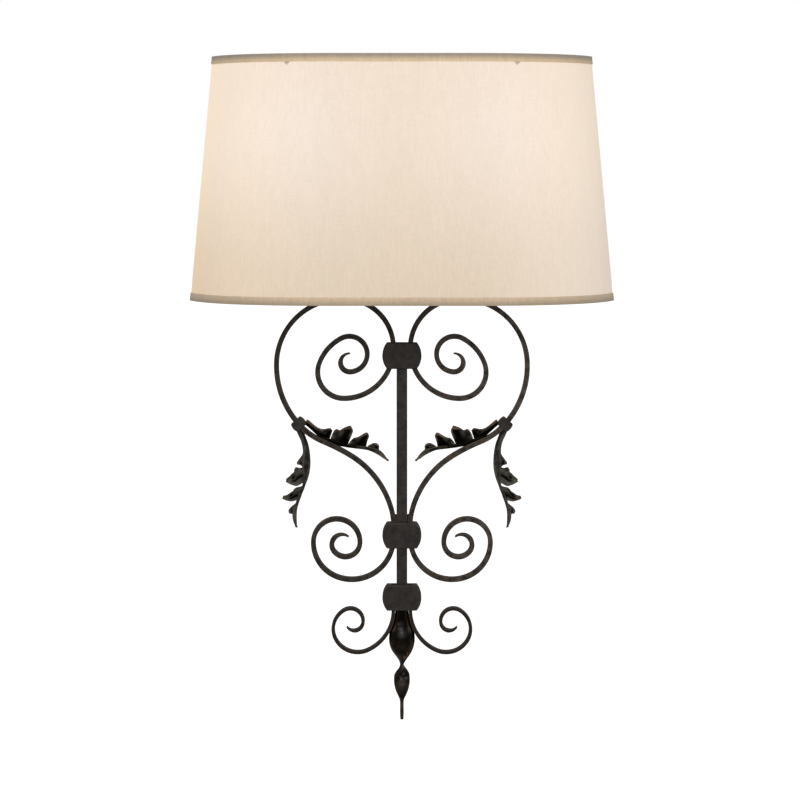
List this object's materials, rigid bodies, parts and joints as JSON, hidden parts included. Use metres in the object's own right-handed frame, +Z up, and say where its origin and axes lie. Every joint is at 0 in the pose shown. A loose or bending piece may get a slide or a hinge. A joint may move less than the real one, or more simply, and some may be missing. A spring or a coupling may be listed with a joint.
{
  "type": "wall sconce",
  "caption": "Wall sconce with a tapered half shade over two lamps and a scrolled wrought-iron bracket with collars, acanthus leaves and a twisted leaf drop.",
  "frame": {"origin": "middle of the wall plate on the wall face, where its slotted bar is screwed to the wall box", "axes": "+X to the right seen from the room, +Y into the wall, +Z up"},
  "size_m": [0.405, 0.1406, 0.6318],
  "materials": {
    "panel_fabric": "fine slubbed silk-look weave over a stiff backing",
    "trim_fabric": "folded self-fabric band",
    "iron": "matte dark bronze over forged iron, rubbed edges",
    "mount_paint": "matte dark bronze",
    "frame_wire": "off-white coated wire",
    "zinc": "zinc plated",
    "brass": "plain turned",
    "cap_metal": "bright rolled",
    "socket_plastic": "moulded",
    "bulb_glass": "frosted",
    "pad_rubber": "soft"
  },
  "bodies": {
    "fixture": {"wall_pan": "mount_paint", "pan_cap_nuts": "mount_paint", "shade_post": "mount_paint", "post_nut": "mount_paint", "lower_standoff": "mount_paint", "lamp_arm_left": "mount_paint", "lamp_arm_right": "mount_paint", "lamp_cup_left": "mount_paint", "lamp_cup_right": "mount_paint", "crossbar": "zinc", "box_screws": "zinc", "pan_studs": "zinc", "ground_screw": "brass", "screw_shell_left": "brass", "screw_shell_right": "brass", "spine_bar": "iron", "collar_upper": "iron", "collar_middle": "iron", "collar_lower": "iron", "drop_finial": "iron", "side_bar_left": "iron", "side_bar_right": "iron", "tail_scroll_left": "iron", "tail_scroll_right": "iron", "leaf_clamp_left": "iron", "leaf_clamp_right": "iron", "loop_weld_left": "iron", "loop_weld_right": "iron", "upper_leaf_left": "iron", "upper_leaf_right": "iron", "lower_leaf_left": "iron", "lower_leaf_right": "iron", "wall_bumper": "pad_rubber", "socket_body_left": "socket_plastic", "socket_body_right": "socket_plastic"},
    "shade": {"shade_panel": "panel_fabric", "shade_trim_top": "trim_fabric", "shade_trim_bottom": "trim_fabric", "shade_ring_top": "frame_wire", "shade_ring_bottom": "frame_wire", "shade_uprights": "frame_wire", "shade_spider": "frame_wire"},
    "finial_nut": {"shade_finial_nut": "mount_paint"},
    "contact_left": {"contact_tab_left": "brass"},
    "contact_right": {"contact_tab_right": "brass"},
    "bulb_left": {"bulb_cap_left": "cap_metal", "bulb_glass_left": "bulb_glass"},
    "bulb_right": {"bulb_cap_right": "cap_metal", "bulb_glass_right": "bulb_glass"}
  },
  "joints": [
    {"name": "shade_lift", "type": "slide", "parent": "fixture", "child": "shade", "axis": [0, 0, 1], "range_m": [0, 0.25]},
    {"name": "finial_turn", "type": "hinge", "parent": "shade", "child": "finial_nut", "pos_m": [0, -0.06, 0.1585], "axis": [0, 0, 1], "continuous": true},
    {"name": "bulb_left_rise", "type": "slide", "parent": "fixture", "child": "contact_left", "axis": [0, 0, 1], "range_m": [0, 0.00363]},
    {"name": "bulb_left_turn", "type": "hinge", "parent": "contact_left", "child": "bulb_left", "pos_m": [-0.094, -0.06, 0.06], "axis": [0, 0, 1], "range_deg": [0, 360]},
    {"name": "bulb_right_rise", "type": "slide", "parent": "fixture", "child": "contact_right", "axis": [0, 0, 1], "range_m": [0, 0.00363]},
    {"name": "bulb_right_turn", "type": "hinge", "parent": "contact_right", "child": "bulb_right", "pos_m": [0.094, -0.06, 0.06], "axis": [0, 0, 1], "range_deg": [0, 360]}
  ],
  "couplings": [
    {"joint": "bulb_left_turn", "follows": "bulb_left_rise", "rad_per_m": 1730.9},
    {"joint": "bulb_right_turn", "follows": "bulb_right_rise", "rad_per_m": 1730.9}
  ]
}
